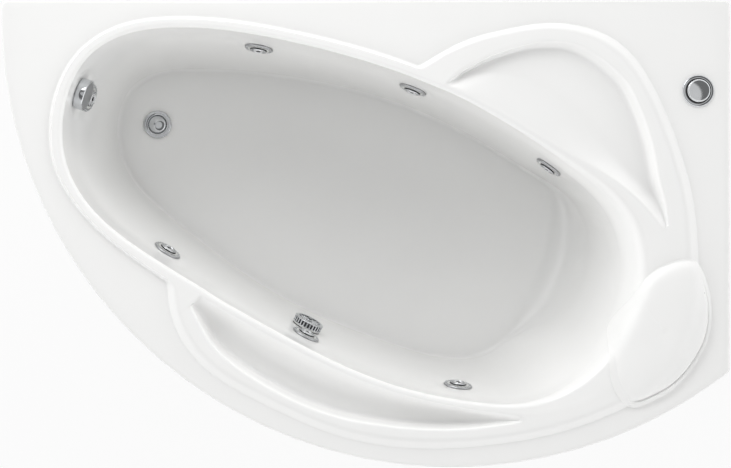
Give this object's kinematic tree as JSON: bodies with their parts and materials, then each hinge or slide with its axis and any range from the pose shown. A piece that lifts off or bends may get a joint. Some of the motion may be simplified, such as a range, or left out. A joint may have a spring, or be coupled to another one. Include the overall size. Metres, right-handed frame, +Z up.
{
  "type": "jetted corner bathtub",
  "caption": "White corner jetted bath with curved front, seven chrome jets, suction fitting, overflow knob, pop-up waste, air button and headrest.",
  "frame": {"origin": "on the floor under the middle of the rim (box centre, feet level)", "axes": "+X along the straight back wall from the narrow end to the broad end with the headrest, +Y towards that wall, +Z up"},
  "size_m": [1.6, 1.025, 0.636],
  "materials": {
    "acrylic": "glossy white sanitary acrylic, deep gloss",
    "backing": "glass-fibre encased board, dull",
    "cushion": "soft white polyurethane skin foam, satin",
    "chromed": "polished chrome plate",
    "satin_chrome": "satin metal",
    "grey_plastic": "pale grey moulded plastic, satin",
    "white_plastic": "white pipe plastic, satin",
    "dark_rubber": "black rubber, dull",
    "galvanised": "zinc-plated steel, dull",
    "motor_paint": "dark blue-grey enamel, semi-gloss",
    "black_plastic": "black moulded plastic, matt",
    "hose": "flexible white hose, satin",
    "steel": "machined steel"
  },
  "bodies": {
    "bath": {"air_manifold": "white_plastic", "air_tube": "black_plastic", "apron_clips": "galvanised", "base_board": "backing", "button_bellows": "dark_rubber", "button_housing": "chromed", "clip_screws": "galvanised", "fan_cover": "black_plastic", "fitting_gaskets": "dark_rubber", "fitting_nuts": "white_plastic", "frame_tubes": "galvanised", "front_apron": "acrylic", "headrest": "cushion", "headrest_studs": "galvanised", "jet_bodies": "white_plastic", "leg_bushes": "black_plastic", "lock_nuts": "galvanised", "motor_housing": "motor_paint", "overflow_body": "white_plastic", "overflow_pipe": "white_plastic", "overflow_trim": "satin_chrome", "pop_up_cable": "black_plastic", "pump_bracket": "galvanised", "pump_volute": "black_plastic", "suction_body": "white_plastic", "suction_cover": "chromed", "suction_hose": "hose", "suction_screw": "chromed", "terminal_box": "black_plastic", "trap": "white_plastic", "tub_shell": "acrylic", "wall_clips": "galvanised", "waste_body": "white_plastic", "waste_flange": "chromed", "water_manifold": "white_plastic"},
    "foot_1": {"foot_1": "galvanised"},
    "foot_2": {"foot_2": "galvanised"},
    "foot_3": {"foot_3": "galvanised"},
    "foot_4": {"foot_4": "galvanised"},
    "jet_nozzle_1": {"jet_nozzle_1": "grey_plastic"},
    "jet_nozzle_2": {"jet_nozzle_2": "grey_plastic"},
    "jet_nozzle_3": {"jet_nozzle_3": "grey_plastic"},
    "jet_nozzle_4": {"jet_nozzle_4": "grey_plastic"},
    "jet_nozzle_5": {"jet_nozzle_5": "grey_plastic"},
    "jet_nozzle_6": {"jet_nozzle_6": "grey_plastic"},
    "jet_nozzle_7": {"jet_nozzle_7": "grey_plastic"},
    "jet_ring_1": {"jet_ring_1": "chromed"},
    "jet_ring_2": {"jet_ring_2": "chromed"},
    "jet_ring_3": {"jet_ring_3": "chromed"},
    "jet_ring_4": {"jet_ring_4": "chromed"},
    "jet_ring_5": {"jet_ring_5": "chromed"},
    "jet_ring_6": {"jet_ring_6": "chromed"},
    "jet_ring_7": {"jet_ring_7": "chromed"},
    "rim_leg_1": {"rim_leg_1": "galvanised"},
    "rim_leg_2": {"rim_leg_2": "galvanised"},
    "rim_leg_3": {"rim_leg_3": "galvanised"},
    "overflow_knob": {"overflow_knob": "chromed"},
    "waste_plug": {"waste_plug": "chromed"},
    "air_button": {"air_button": "grey_plastic"},
    "pump_rotor": {"pump_rotor": "steel"}
  },
  "joints": [
    {"name": "jet_ring_1_turn", "type": "hinge", "parent": "bath", "child": "jet_ring_1", "pos_m": [0.42318, 0.1555, 0.452], "axis": [-0.5878, -0.8086, 0.0267], "range_deg": [0, 90]},
    {"name": "jet_nozzle_1_tilt", "type": "hinge", "parent": "jet_ring_1", "child": "jet_nozzle_1", "pos_m": [0.42318, 0.1555, 0.452], "axis": [0.8089, -0.588, 0], "range_deg": [-15, 15]},
    {"name": "jet_ring_2_turn", "type": "hinge", "parent": "bath", "child": "jet_ring_2", "pos_m": [0.10985, 0.33415, 0.455], "axis": [-0.3694, -0.9273, 0.0603], "range_deg": [0, 90]},
    {"name": "jet_nozzle_2_tilt", "type": "hinge", "parent": "jet_ring_2", "child": "jet_nozzle_2", "pos_m": [0.10985, 0.33415, 0.455], "axis": [0.929, -0.3701, 0], "range_deg": [-15, 15]},
    {"name": "jet_ring_3_turn", "type": "hinge", "parent": "bath", "child": "jet_ring_3", "pos_m": [-0.24579, 0.42978, 0.452], "axis": [-0.1602, -0.982, 0.1003], "range_deg": [0, 90]},
    {"name": "jet_nozzle_3_tilt", "type": "hinge", "parent": "jet_ring_3", "child": "jet_nozzle_3", "pos_m": [-0.24579, 0.42978, 0.452], "axis": [0.9869, -0.161, 0], "range_deg": [-15, 15]},
    {"name": "jet_ring_4_turn", "type": "hinge", "parent": "bath", "child": "jet_ring_4", "pos_m": [-0.63973, 0.31537, 0.44], "axis": [0.9433, -0.3175, 0.0967], "range_deg": [0, 90]},
    {"name": "jet_nozzle_4_tilt", "type": "hinge", "parent": "jet_ring_4", "child": "jet_nozzle_4", "pos_m": [-0.63973, 0.31537, 0.44], "axis": [0.319, 0.9478, 0], "range_deg": [-15, 15]},
    {"name": "jet_ring_5_turn", "type": "hinge", "parent": "bath", "child": "jet_ring_5", "pos_m": [-0.45814, -0.03935, 0.448], "axis": [0.5387, 0.8257, 0.1675], "range_deg": [0, 90]},
    {"name": "jet_nozzle_5_tilt", "type": "hinge", "parent": "jet_ring_5", "child": "jet_nozzle_5", "pos_m": [-0.45814, -0.03935, 0.448], "axis": [-0.8375, 0.5465, 0], "range_deg": [-15, 15]},
    {"name": "jet_ring_6_turn", "type": "hinge", "parent": "bath", "child": "jet_ring_6", "pos_m": [-0.13745, -0.23218, 0.468], "axis": [0.4638, 0.8785, 0.115], "range_deg": [0, 90]},
    {"name": "jet_nozzle_6_tilt", "type": "hinge", "parent": "jet_ring_6", "child": "jet_nozzle_6", "pos_m": [-0.13745, -0.23218, 0.468], "axis": [-0.8843, 0.4669, 0], "range_deg": [-15, 15]},
    {"name": "jet_ring_7_turn", "type": "hinge", "parent": "bath", "child": "jet_ring_7", "pos_m": [0.21278, -0.35013, 0.452], "axis": [0.1302, 0.9824, 0.1341], "range_deg": [0, 90]},
    {"name": "jet_nozzle_7_tilt", "type": "hinge", "parent": "jet_ring_7", "child": "jet_nozzle_7", "pos_m": [0.21278, -0.35013, 0.452], "axis": [-0.9913, 0.1313, 0], "range_deg": [-15, 15]},
    {"name": "overflow_knob_turn", "type": "hinge", "parent": "bath", "child": "overflow_knob", "pos_m": [-0.64541, 0.31788, 0.53], "axis": [0.9442, -0.3286, 0.0222], "range_deg": [0, 90]},
    {"name": "waste_plug_lift", "type": "slide", "parent": "bath", "child": "waste_plug", "axis": [0, 0, 1], "range_m": [0, 0.012]},
    {"name": "air_button_press", "type": "slide", "parent": "bath", "child": "air_button", "axis": [0, 0, -1], "range_m": [0, 0.005], "stiffness_N_per_m": 800, "springref_m": -0.003, "deforming": ["button_bellows"]},
    {"name": "pump_rotor_spin", "type": "hinge", "parent": "bath", "child": "pump_rotor", "pos_m": [0.65, 0.262, 0.15], "axis": [0, -1, 0], "continuous": true},
    {"name": "foot_1_level", "type": "slide", "parent": "bath", "child": "foot_1", "axis": [0, 0, -1], "range_m": [-0.012, 0.012]},
    {"name": "foot_2_level", "type": "slide", "parent": "bath", "child": "foot_2", "axis": [0, 0, -1], "range_m": [-0.012, 0.012]},
    {"name": "foot_3_level", "type": "slide", "parent": "bath", "child": "foot_3", "axis": [0, 0, -1], "range_m": [-0.012, 0.012]},
    {"name": "foot_4_level", "type": "slide", "parent": "bath", "child": "foot_4", "axis": [0, 0, -1], "range_m": [-0.012, 0.012]},
    {"name": "rim_leg_1_level", "type": "slide", "parent": "bath", "child": "rim_leg_1", "axis": [0, 0, -1], "range_m": [-0.012, 0.012]},
    {"name": "rim_leg_2_level", "type": "slide", "parent": "bath", "child": "rim_leg_2", "axis": [0, 0, -1], "range_m": [-0.012, 0.012]},
    {"name": "rim_leg_3_level", "type": "slide", "parent": "bath", "child": "rim_leg_3", "axis": [0, 0, -1], "range_m": [-0.012, 0.012]}
  ],
  "couplings": [
    {"joint": "waste_plug_lift", "follows": "overflow_knob_turn", "m_per_rad": 0.0076393}
  ]
}
